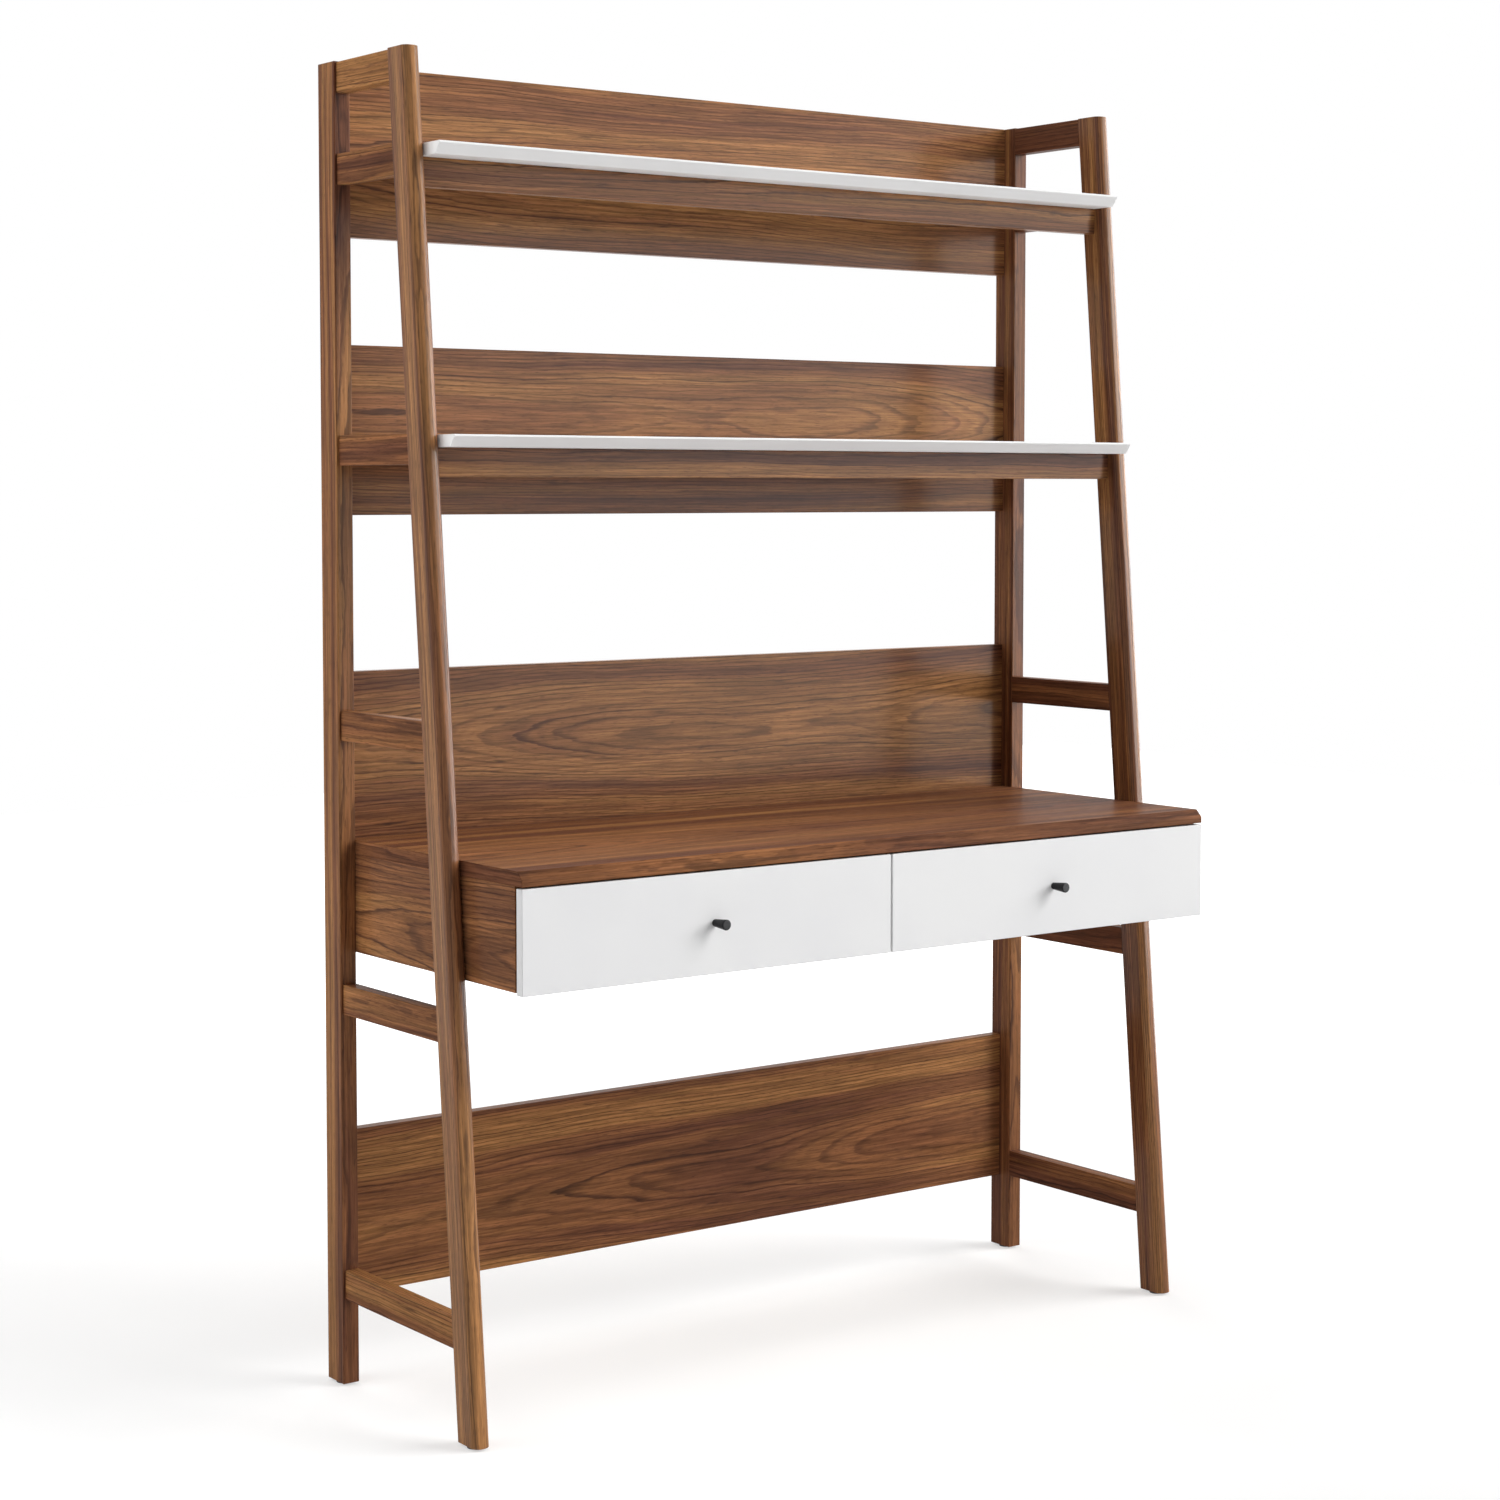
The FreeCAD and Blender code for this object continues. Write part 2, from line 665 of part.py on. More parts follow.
def make_knob(drawer, x):
    """A tapered knob, wider at its outer end, and the screw through the drawer front that holds it."""
    base = place(x, desk_depth, knob_height)
    base_radius = knob_base_diameter / 2
    end_radius = knob_end_diameter / 2
    turn = knob_end_round * (1 - math.cos(math.pi / 4))

    def profile(radius, out):
        return base + RIGHT * radius + FRONT * out

    shoulder = profile(end_radius, knob_length - knob_end_round)
    crown = profile(end_radius - turn, knob_length - turn)
    rim = profile(end_radius - knob_end_round, knob_length)
    foot = profile(base_radius, 0)
    tip = profile(0, knob_length)
    edges = [Part.makeLine(base, foot), Part.makeLine(foot, shoulder)]
    edges.append(Part.Arc(shoulder, crown, rim).toShape())
    edges += [Part.makeLine(rim, tip), Part.makeLine(tip, base)]
    knob = f"{drawer}_knob"
    pieces[knob] = Part.Face(Part.Wire(edges)).revolve(base, FRONT, 360)

    seat = place(x, drawer_front_rear, knob_height)
    length = drawer_front_thickness + knob_screw_reach
    head_face = seat + REAR * knob_screw_head_height
    head = rod(head_face, FRONT, knob_screw_head_diameter, knob_screw_head_height)
    screw = join(head, rod(seat, FRONT, knob_screw_diameter, length))
    pieces[f"{drawer}_knob_screw"] = screw.cut(cross_recess(head_face, FRONT))
    hole = rod(seat, FRONT, knob_screw_diameter + hole_clearance, length + hole_end_gap)
    drill(hole, f"{drawer}_drawer_front", knob)


def make_drawer(drawer, sign):
    """A drawer: its front, box, runners and knob. Outer is the end near the leg, inner near the divider."""
    outer_wall = sign * case_inner_x
    inner_wall = sign * case_divider_thickness / 2
    outer_face = outer_wall - sign * runner_width
    inner_face = inner_wall + sign * runner_width
    outer_inside = outer_face - sign * drawer_wall
    inner_inside = inner_face + sign * drawer_wall
    front = f"{drawer}_drawer_front"
    outer_side = f"{drawer}_drawer_outer_side"
    inner_side = f"{drawer}_drawer_inner_side"
    back = f"{drawer}_drawer_back"

    front_x = (sign * drawer_centre_gap / 2, sign * inner_x)
    front_box = block(front_x, (drawer_front_rear, desk_depth), (drawer_front_bottom, drawer_front_top))
    pieces[front] = eased_all(front_box, drawer_edge_round)

    side_depth = (runner_rear, drawer_front_rear + drawer_housing)
    box_z = (drawer_box_bottom, drawer_box_top)
    housed(outer_side, (outer_inside, outer_face), side_depth, box_z, front)
    housed(inner_side, (inner_inside, inner_face), side_depth, box_z, front)

    housed_x = (outer_inside + sign * drawer_housing, inner_inside - sign * drawer_housing)
    back_rear = runner_rear + drawer_back_inset
    back_front = back_rear + drawer_wall
    housed(back, housed_x, (back_rear, back_front), box_z, outer_side, inner_side)
    for wall, direction in ((outer_side, REAR), (inner_side, REAR), (back, RIGHT)):
        pieces[wall] = eased(pieces[wall], drawer_wall_round, direction)
    floor = drawer_box_bottom + drawer_bottom_rise
    floor_depth = (back_front - drawer_housing, drawer_front_rear + drawer_housing)
    floor_z = (floor, floor + drawer_bottom_thickness)
    housed(f"{drawer}_drawer_bottom", housed_x, floor_depth, floor_z, outer_side, inner_side, back, front)

    stagger = sign * runner_screw_stagger / 2
    make_runner(drawer, outer_wall, -sign, f"case_side_{drawer}", outer_side, stagger)
    make_runner(drawer, inner_wall, sign, "case_divider", inner_side, stagger)
    make_knob(drawer, sum(front_x) / 2)


def save_all():
    os.makedirs("parts", exist_ok=True)
    for name, solid in pieces.items():
        groups[name] = [solid]
    for name, solids in groups.items():
        tools = cuts.get(name, [])
        finished = [solid.cut(tools) if tools else solid for solid in solids]
        whole = finished[0] if len(finished) == 1 else Part.makeCompound(finished)
        whole.exportStep(f"parts/{name}.step")
        print(name, len(whole.Solids), "solids", round(whole.Volume / 1000, 1), "cm3", whole.isValid())


make_legs()
make_glides()
make_rails()
make_back_panels()
make_shelf("upper", upper_shelf_top)
make_shelf("lower", lower_shelf_top)
make_desk_top()
make_case()
for drawer_name, drawer_sign in SIDES.items():
    make_drawer(drawer_name, drawer_sign)
save_all()
print("overall", overall_width, overall_depth, overall_height, "runner width", round(runner_width, 3))
print("runner length", runner_front - runner_rear, "travel", runner_front - runner_rear - cage_length)
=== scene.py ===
import math
import random
from collections import namedtuple

import bpy
from mathutils import Matrix, Vector


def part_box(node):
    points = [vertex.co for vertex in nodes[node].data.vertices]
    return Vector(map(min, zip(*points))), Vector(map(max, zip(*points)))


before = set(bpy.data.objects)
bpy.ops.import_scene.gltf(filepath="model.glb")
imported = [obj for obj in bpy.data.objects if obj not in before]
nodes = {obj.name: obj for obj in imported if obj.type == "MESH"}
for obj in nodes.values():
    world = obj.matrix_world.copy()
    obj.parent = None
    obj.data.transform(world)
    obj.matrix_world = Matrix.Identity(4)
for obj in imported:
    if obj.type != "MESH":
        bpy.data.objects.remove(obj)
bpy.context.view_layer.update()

# The ladder desk's looks: a camera, a studio, and a procedural finish for every piece. Lengths are in metres.
scene = bpy.context.scene
SIDES = ("left", "right")


# Objects that look along a direction
def add_object(name, data):
    thing = bpy.data.objects.new(name, data)
    scene.collection.objects.link(thing)
    return thing


def aim(thing, direction):
    """Turns a camera or a lamp so that it looks along a direction."""
    thing.rotation_mode = "QUATERNION"
    thing.rotation_quaternion = direction.to_track_quat("-Z", "Y")


# Camera at the photograph's viewing angle, in a square frame. Angles are in radians, the lens in millimetres.
CAMERA_PLACE = Vector((-2.479, -3.204, 1.2025))
CAMERA_TURN = 0.63606
CAMERA_TILT = 0.05832
CAMERA_LENS = 69.88
CAMERA_SENSOR = 36.0
CAMERA_SHIFT = (0.0142, -0.06)
CAMERA_REACH = 100.0


def make_camera():
    data = bpy.data.cameras.new("camera")
    data.lens = CAMERA_LENS
    data.sensor_width = CAMERA_SENSOR
    data.shift_x, data.shift_y = CAMERA_SHIFT
    data.clip_end = CAMERA_REACH
    camera = add_object("camera", data)
    camera.location = CAMERA_PLACE
    level = math.cos(CAMERA_TILT)
    across = math.sin(CAMERA_TURN) * level
    ahead = math.cos(CAMERA_TURN) * level
    aim(camera, Vector((across, ahead, -math.sin(CAMERA_TILT))))
    scene.camera = camera


# Sockets of the Mix node that hold its factor and its colours
MIX_FACTOR = 0
MIX_FIRST = 6
MIX_SECOND = 7
MIX_RESULT = 2


# Short ways to write shader nodes
class Graph:
    """A shader node tree. A value is a number, a tuple of numbers or another node's output."""

    def __init__(self, tree):
        self.tree = tree

    def feed(self, socket, value):
        if isinstance(value, bpy.types.NodeSocket):
            self.tree.links.new(value, socket)
        else:
            socket.default_value = value

    def add(self, kind, values=None, **settings):
        node = self.tree.nodes.new(kind)
        for name, value in settings.items():
            setattr(node, name, value)
        for name, value in (values or {}).items():
            self.feed(node.inputs[name], value)
        return node

    def operate(self, kind, operation, values):
        node = self.add(kind, operation=operation)
        for socket, value in zip(node.inputs, values):
            self.feed(socket, value)
        return node.outputs

    def math(self, operation, *values):
        return self.operate("ShaderNodeMath", operation, values)[0]

    def vector(self, operation, *values):
        outputs = self.operate("ShaderNodeVectorMath", operation, values)
        return outputs["Value" if operation == "LENGTH" else "Vector"]

    def combine(self, x, y, z):
        return self.add("ShaderNodeCombineXYZ", {"X": x, "Y": y, "Z": z}).outputs[0]

    def split(self, vector):
        return self.add("ShaderNodeSeparateXYZ", {"Vector": vector}).outputs

    def where(self, kind="Object"):
        """The place on the piece, or its normal there, in the desk's axes."""
        return self.add("ShaderNodeTexCoord").outputs[kind]

    def noise(self, vector, stretch, detail=2.0, roughness=0.5):
        """Noise whose features are about 1 / stretch metres long in each direction."""
        scaled = self.vector("MULTIPLY", vector, stretch)
        values = {"Vector": scaled, "Scale": 1.0, "Detail": detail, "Roughness": roughness}
        return self.add("ShaderNodeTexNoise", values).outputs

    def fade(self, value, low, high, to_low=0.0, to_high=1.0):
        """A smooth step from to_low at low to to_high at high."""
        values = {"Value": value, "From Min": low, "From Max": high, "To Min": to_low, "To Max": to_high}
        return self.add("ShaderNodeMapRange", values, interpolation_type="SMOOTHSTEP").outputs[0]

    def mix(self, factor, first, second, blend="MIX"):
        node = self.add("ShaderNodeMix", data_type="RGBA", blend_type=blend)
        for number, value in ((MIX_FACTOR, factor), (MIX_FIRST, first), (MIX_SECOND, second)):
            self.feed(node.inputs[number], value)
        return node.outputs[MIX_RESULT]


# The sRGB curve: a straight foot, then a power
SRGB_TOP = 255
SRGB_FOOT_END = 0.04045
SRGB_FOOT_SLOPE = 12.92
SRGB_OFFSET = 0.055
SRGB_POWER = 2.4


def srgb(red, green, blue):
    """A colour given in 0 to 255 steps, as the shader's linear values."""
    linear = []
    for step in (red, green, blue):
        share = step / SRGB_TOP
        foot = share / SRGB_FOOT_SLOPE
        curve = ((share + SRGB_OFFSET) / (1 + SRGB_OFFSET)) ** SRGB_POWER
        linear.append(foot if share <= SRGB_FOOT_END else curve)
    return (*linear, 1.0)


WHITE = srgb(255, 255, 255)


# What materials share. Noises are given by their stretch, and steps by the values that fade takes.
Bump = namedtuple("Bump", "distance strength")
CLOUD_STEP = (0.3, 0.7)
SEED_REACH = 20.0
ACROSS_GRAIN = (0.0, 1.0, 1.0)
ON_FACE = (1.0, 1.0, 0.0)


def even(features):
    """A noise stretch with as many features in a metre in every direction."""
    return (features, features, features)


def grainy(along, across):
    """A noise stretch with its own number of features in a metre along the grain."""
    return (along, across, across)


def random_place(chance):
    """A place far off in a noise, so that no two pieces look alike."""
    return [chance.uniform(-SEED_REACH, SEED_REACH) for axis in range(3)]


def new_material(name):
    material = bpy.data.materials.new(name)
    material.use_nodes = True
    material.node_tree.nodes.clear()
    return material, Graph(material.node_tree)


def finish_material(graph, shader_values, height, bump):
    """Ends a material in one shader, with a bump."""
    shader = graph.add("ShaderNodeBsdfPrincipled", shader_values)
    values = {"Height": height, "Distance": bump.distance, "Strength": bump.strength}
    graph.feed(shader.inputs["Normal"], graph.add("ShaderNodeBump", values).outputs["Normal"])
    output = graph.add("ShaderNodeOutputMaterial")
    graph.feed(output.inputs["Surface"], shader.outputs[0])


def dress(node, material):
    """Gives a CAD piece its finish."""
    for slot in nodes[node].material_slots:
        slot.material = material


# Directions that the grain can run in, as turns from the desk's axes
GRAIN_ACROSS = Matrix(((1, 0, 0), (0, 0, 1), (0, -1, 0)))
GRAIN_ACROSS_FLAT = Matrix.Identity(3)
GRAIN_DEPTH = Matrix(((0, 1, 0), (0, 0, 1), (1, 0, 0)))
GRAIN_UP = Matrix(((0, 0, 1), (1, 0, 0), (0, 1, 0)))


def leaning_grain():
    """The grain of a front leg, which leans to the rear as it goes up."""
    low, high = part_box("front_leg_left")
    rear_low, rear_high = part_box("rear_leg_left")
    leg_depth = rear_high.y - rear_low.y
    lean = math.atan2(high.y - low.y - leg_depth, high.z - low.z)
    return GRAIN_UP @ Matrix.Rotation(lean, 3, "X")


def place_in_piece(graph, node, grain):
    """Coordinates in a piece, from its middle, turned so that X runs along the grain."""
    low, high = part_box(node)
    middle = (low + high) / 2
    values = {"Vector": graph.where(), "Rotation": grain.to_euler("XYZ"), "Location": -(grain @ middle)}
    return graph.add("ShaderNodeMapping", values).outputs[0]


# Walnut colours, and noises in the wood
WALNUT_GOLD = srgb(161, 113, 69)
WALNUT_BROWN = srgb(135, 89, 57)
WALNUT_RED = srgb(104, 65, 46)
WALNUT_LINE = srgb(58, 36, 29)
WALNUT_FLAME = srgb(56, 38, 33)
WANDER = {"stretch": grainy(1.0, 2.5), "detail": 1.0}
WAVER = {"stretch": grainy(5.0, 26.0)}
SHAKE = {"stretch": grainy(20.0, 120.0), "roughness": 0.6}
THREAD = {"stretch": grainy(4.0, 230.0), "detail": 3.0, "roughness": 0.6}
FIBRE = {"stretch": grainy(14.0, 520.0)}
PORE = {"stretch": grainy(60.0, 1300.0), "detail": 1.0}
NOISE_MIDDLE = (0.5, 0.5, 0.5)
WAVER_REACH = (0.0, 0.007, 0.007)
SHAKE_REACH = (0.0, 0.0019, 0.0019)

# Walnut noises that follow the rings, stretched along the grain and from band to band or ring to ring
BAND = {"stretch": (0.7, 1.0, 1.0), "detail": 3.0, "roughness": 0.6}
STREAK = {"stretch": (4.0, 1.3, 1.0), "roughness": 0.6}
FLAME = {"stretch": (14.0, 0.8, 1.0), "roughness": 0.6}

# Steps that turn the walnut's noises into colour and relief
LATE_WOOD_START = (0.58, 0.86)
LATE_WOOD_END = (0.92, 1.0, 1.0, 0.0)
RED_TO_BROWN = (0.36, 0.5)
BROWN_TO_GOLD = (0.48, 0.66)
FLAME_STEP = (0.64, 0.77, 0.0, 0.55)
STREAK_LIGHT = (0.34, 0.66, 0.87, 1.12)
THREAD_LIGHT = (0.34, 0.66, 0.76, 1.19)
FIBRE_LIGHT = (0.3, 0.7, 0.82, 1.18)
FIBRE_ROUGHNESS = (0.2, 0.8, 0.4, 0.5)
FIBRE_HEIGHT = 0.35
PORE_STEP = (0.58, 0.7)
PORE_DARKNESS = 0.5
PORE_ROUGHNESS = 0.12
LINE_LEAST = 0.3
LINE_SPREAD = 0.7
LINE_DARKNESS = 0.85
LINE_DEPTH = 0.3

# Walnut lacquer
WALNUT_GLOSS = 0.02
WALNUT_BUMP = Bump(distance=0.00012, strength=0.5)
COAT_ROUGHNESS = 0.18
MATT_COAT = 1.15
SATIN_COAT = 1.3

# Stock that the pieces are cut from: ring spacing and wander in metres, bands in a metre, angles in radians
Cut = namedtuple("Cut", "spacing bands wander tilt")
BOARD = Cut(spacing=0.0037, bands=36.0, wander=0.055, tilt=0.018)
POST = Cut(spacing=0.0031, bands=75.0, wander=0.03, tilt=0.0)
Stock = namedtuple("Stock", "cut pith_distance pith_spread warmth coat_weight coat_ior",
                   defaults=(0.0, 1.0, MATT_COAT))
REAR_LEG = Stock(POST, pith_distance=0.09, pith_spread=0.6, coat_weight=0.2, coat_ior=SATIN_COAT)
FRONT_LEG = REAR_LEG._replace(warmth=0.05, coat_weight=0.6)
RAIL = Stock(POST, pith_distance=0.06, pith_spread=0.6, coat_weight=0.15)
APRON = Stock(POST, pith_distance=0.07, pith_spread=0.6, coat_weight=0.5)
PANEL = Stock(BOARD, pith_distance=0.1, pith_spread=0.5, warmth=0.06, coat_weight=0.5)
CASE_SIDE = Stock(BOARD, pith_distance=0.08, pith_spread=0.5, coat_weight=0.3)
CASE_DIVIDER = Stock(BOARD, pith_distance=0.08, pith_spread=0.5)
DESK_TOP = Stock(BOARD, pith_distance=0.13, pith_spread=0.5, warmth=-0.07, coat_weight=0.05)
# The front strip is painted darker than the top, as painted shade on the desk's lit front edge. The end
# strips are lighter than the top.
DESK_TOP_FRONT_STRIP_AND_PAINTED_SHADE = Stock(BOARD, pith_distance=0.08, pith_spread=0.5, warmth=-0.12)
DESK_TOP_ENDS = Stock(BOARD, pith_distance=0.08, pith_spread=0.5, warmth=0.03)
WARMTH_SPREAD = 0.04
# The right side's rails are painted darker, as painted shade on their inner faces. The left top rail is
# painted lighter and the left desk rail darker, as painted light and painted shade.
RAIL_PAINTED_SHADE_BY_SIDE = {"left": 0.0, "right": -0.14}
RAIL_PAINTED_LIGHT_AND_SHADE = {"top_rail_left": 0.12, "desk_rail_left": -0.08}

# Where the desk top's normal says that a face is its front or one of its ends
FACES_FRONT = (-0.5, -0.3, 1.0, 0.0)
FACES_END = (0.6, 0.8)

WALNUT_INPUTS = {
    "Place": "NodeSocketVector",
    "Pith": "NodeSocketVector",
    "Seed": "NodeSocketVector",
    "Warmth": "NodeSocketFloat",
    "Spacing": "NodeSocketFloat",
    "Bands": "NodeSocketFloat",
    "Wander": "NodeSocketVector",
}
WALNUT_OUTPUTS = {"Color": "NodeSocketColor", "Roughness": "NodeSocketFloat", "Height": "NodeSocketFloat"}


def ring_radius(graph, given, seeded):
    """The distance from the pith, which wanders along the board, with rings that waver on smaller scales."""
    moved = graph.vector("SUBTRACT", given["Place"], given["Pith"])
    for noise, reach in ((WANDER, given["Wander"]), (WAVER, WAVER_REACH), (SHAKE, SHAKE_REACH)):
        source = graph.noise(seeded, **noise)["Color"]
        offset = graph.vector("MULTIPLY", graph.vector("SUBTRACT", source, NOISE_MIDDLE), reach)
        moved = graph.vector("ADD", moved, offset)
    return graph.vector("LENGTH", graph.vector("MULTIPLY", moved, ACROSS_GRAIN))


def ring_lines(graph, turns):
    """The dark line at each ring's end, stronger on some rings than on others."""
    share = graph.math("FRACT", turns)
    number = graph.math("FLOOR", turns)
    chance = graph.add("ShaderNodeTexWhiteNoise", {"W": number}, noise_dimensions="1D").outputs["Value"]
    late = graph.math("MULTIPLY", graph.fade(share, *LATE_WOOD_START), graph.fade(share, *LATE_WOOD_END))
    return graph.math("MULTIPLY", late, graph.math("MULTIPLY_ADD", chance, LINE_SPREAD, LINE_LEAST))


def band_colors(graph, warmth):
    """The colour of a band, from red through brown to gold as it gets warmer."""
    color = graph.mix(graph.fade(warmth, *RED_TO_BROWN), WALNUT_RED, WALNUT_BROWN)
    return graph.mix(graph.fade(warmth, *BROWN_TO_GOLD), color, WALNUT_GOLD)


def walnut_group():
    """The walnut's figure: rings round a wandering pith, colour bands, dark flames, fibres and pores."""
    tree = bpy.data.node_groups.new("walnut_figure", "ShaderNodeTree")
    for name, kind in WALNUT_INPUTS.items():
        tree.interface.new_socket(name, in_out="INPUT", socket_type=kind)
    for name, kind in WALNUT_OUTPUTS.items():
        tree.interface.new_socket(name, in_out="OUTPUT", socket_type=kind)
    graph = Graph(tree)
    given = graph.add("NodeGroupInput").outputs
    seeded = graph.vector("ADD", given["Place"], given["Seed"])

    # Rings, and places that follow them along the grain
    radius = ring_radius(graph, given, seeded)
    turns = graph.math("DIVIDE", radius, given["Spacing"])
    line = ring_lines(graph, turns)
    along = graph.split(given["Place"])["X"]
    bands = graph.math("MULTIPLY", radius, given["Bands"])
    bandwise = graph.vector("ADD", graph.combine(along, bands, 0.0), given["Seed"])
    ringwise = graph.vector("ADD", graph.combine(along, turns, 0.0), given["Seed"])

    # Colour bands, ring lines and dark flames
    warmth = graph.math("ADD", graph.noise(bandwise, **BAND)["Fac"], given["Warmth"])
    color = band_colors(graph, warmth)
    color = graph.mix(graph.math("MULTIPLY", line, LINE_DARKNESS), color, WALNUT_LINE)
    flame = graph.noise(ringwise, **FLAME)["Fac"]
    color = graph.mix(graph.fade(flame, *FLAME_STEP), color, WALNUT_FLAME)

    # Streaks, threads, fibres and pores
    fibre = graph.noise(seeded, **FIBRE)["Fac"]
    streak_light = graph.fade(graph.noise(ringwise, **STREAK)["Fac"], *STREAK_LIGHT)
    thread_light = graph.fade(graph.noise(seeded, **THREAD)["Fac"], *THREAD_LIGHT)
    light = graph.math("MULTIPLY", streak_light, thread_light)
    light = graph.math("MULTIPLY", light, graph.fade(fibre, *FIBRE_LIGHT))
    color = graph.mix(1.0, color, graph.combine(light, light, light), "MULTIPLY")
    pores = graph.fade(graph.noise(seeded, **PORE)["Fac"], *PORE_STEP)
    color = graph.mix(graph.math("MULTIPLY", pores, PORE_DARKNESS), color, WALNUT_LINE)

    # Gloss and relief
    pore_roughness = graph.math("MULTIPLY", pores, PORE_ROUGHNESS)
    roughness = graph.math("ADD", graph.fade(fibre, *FIBRE_ROUGHNESS), pore_roughness)
    height = graph.math("SUBTRACT", graph.math("MULTIPLY", fibre, FIBRE_HEIGHT), pores)
    height = graph.math("SUBTRACT", height, graph.math("MULTIPLY", line, LINE_DEPTH))
    result = graph.add("NodeGroupOutput")
    for name, value in (("Color", color), ("Roughness", roughness), ("Height", height)):
        graph.feed(result.inputs[name], value)
    return tree


walnut_tree = walnut_group()


def walnut_figure(graph, node, grain, stock, face_of=None):
    """The figure of one piece, cut from its own part of the tree, or of a strip that faces one side of it."""
    cut = stock.cut
    chance = random.Random(node if face_of is None else f"{node} {face_of}")
    angle = math.pi / 2 + stock.pith_spread * chance.uniform(-1.0, 1.0)
    pith = (0.0, stock.pith_distance * math.cos(angle), stock.pith_distance * math.sin(angle))
    seed = random_place(chance)
    warmth = stock.warmth + chance.uniform(-WARMTH_SPREAD, WARMTH_SPREAD)
    turned = Matrix.Rotation(chance.choice((-cut.tilt, cut.tilt)), 3, "Y") @ grain
    place = place_in_piece(graph, node, turned)
    if face_of is not None:
        place = graph.vector("MULTIPLY", place, ON_FACE)
    values = {"Place": place, "Pith": pith, "Seed": seed, "Warmth": warmth,
              "Spacing": cut.spacing, "Bands": cut.bands, "Wander": (0.0, cut.wander, cut.wander)}
    return graph.add("ShaderNodeGroup", values, node_tree=walnut_tree).outputs


def finish_walnut(graph, color, roughness, height, stock):
    shader = {"Base Color": color, "Roughness": roughness, "Specular IOR Level": WALNUT_GLOSS,
              "Coat Weight": stock.coat_weight, "Coat Roughness": COAT_ROUGHNESS, "Coat IOR": stock.coat_ior}
    finish_material(graph, shader, height, WALNUT_BUMP)


def dress_in_walnut(node, grain, stock):
    """Walnut for one piece."""
    material, graph = new_material("walnut_" + node)
    figure = walnut_figure(graph, node, grain, stock)
    finish_walnut(graph, figure["Color"], figure["Roughness"], figure["Height"], stock)
    dress(node, material)


def dress_banded_top(node):
    """Walnut for the desk top, whose front and ends are faced with strips that have their own grain. The
    front strip is painted darker, as painted shade on the lit front edge, and the end strips are lighter.
    """
    material, graph = new_material("walnut_" + node)
    board = walnut_figure(graph, node, GRAIN_ACROSS_FLAT, DESK_TOP)
    front = walnut_figure(graph, node, GRAIN_ACROSS, DESK_TOP_FRONT_STRIP_AND_PAINTED_SHADE, face_of="front")
    ends = walnut_figure(graph, node, GRAIN_DEPTH, DESK_TOP_ENDS, face_of="ends")
    facing = graph.split(graph.where("Normal"))
    on_front = graph.fade(facing["Y"], *FACES_FRONT)
    on_end = graph.fade(graph.math("ABSOLUTE", facing["X"]), *FACES_END)
    color = graph.mix(on_front, board["Color"], front["Color"])
    color = graph.mix(on_end, color, ends["Color"])
    finish_walnut(graph, color, board["Roughness"], board["Height"], DESK_TOP)
    dress(node, material)


RAILS = ("top_rail", "upper_shelf_rail", "lower_shelf_rail", "middle_rail", "desk_rail", "foot_rail")
PANELS = ("upper_back_panel", "lower_back_panel", "desk_back_panel", "foot_back_panel")
APRONS = ("upper_shelf_apron", "lower_shelf_apron")


def dress_walnut():
    for side in SIDES:
        dress_in_walnut(f"rear_leg_{side}", GRAIN_UP, REAR_LEG)
        dress_in_walnut(f"front_leg_{side}", leaning_grain(), FRONT_LEG)
        dress_in_walnut(f"case_side_{side}", GRAIN_DEPTH, CASE_SIDE)
        for rail in RAILS:
            node = f"{rail}_{side}"
            # A rail's warmth here adds painted shade for the right side, and painted light and shade for two
            # single left rails.
            warmth = RAIL_PAINTED_SHADE_BY_SIDE[side] + RAIL_PAINTED_LIGHT_AND_SHADE.get(node, 0.0)
            dress_in_walnut(node, GRAIN_DEPTH, RAIL._replace(warmth=warmth))
    for panel in PANELS:
        dress_in_walnut(panel, GRAIN_ACROSS, PANEL)
    for apron in APRONS:
        dress_in_walnut(apron, GRAIN_ACROSS, APRON)
    dress_in_walnut("case_divider", GRAIN_DEPTH, CASE_DIVIDER)
    dress_banded_top("desk_top")


# White lacquer, faintly clouded, with the fine unevenness of a sprayed coat
# The shelves' copy is painted whiter than the drawers', as painted light on the shelves' down-facing front
# edges.
SHELF_WHITES_PAINTED_LIGHT = (srgb(246, 246, 246), srgb(250, 250, 250))
DRAWER_WHITES = (srgb(228, 228, 229), srgb(232, 232, 232))
LACQUER_CLOUD = {"stretch": even(5.0)}
LACQUER_PEEL = {"stretch": even(420.0), "detail": 1.0}
LACQUER_ROUGHNESS = (0.3, 0.7, 0.36, 0.44)
LACQUER_GLOSS = 0.1
LACQUER_BUMP = Bump(distance=0.00005, strength=0.35)


def make_white_lacquer(name, whites):
    material, graph = new_material(name)
    where = graph.where()
    cloud = graph.noise(where, **LACQUER_CLOUD)["Fac"]
    peel = graph.noise(where, **LACQUER_PEEL)["Fac"]
    color = graph.mix(graph.fade(cloud, *CLOUD_STEP), *whites)
    roughness = graph.fade(cloud, *LACQUER_ROUGHNESS)
    shader = {"Base Color": color, "Roughness": roughness, "Specular IOR Level": LACQUER_GLOSS}
    finish_material(graph, shader, peel, LACQUER_BUMP)
    return material


def dress_white():
    shelf_white_painted_light = make_white_lacquer("white_lacquer_shelf_painted_light", SHELF_WHITES_PAINTED_LIGHT)
    drawer_white = make_white_lacquer("white_lacquer_drawer", DRAWER_WHITES)
    for shelf in ("upper_shelf", "lower_shelf"):
        dress(shelf, shelf_white_painted_light)
    for side in SIDES:
        dress(f"{side}_drawer_front", drawer_white)


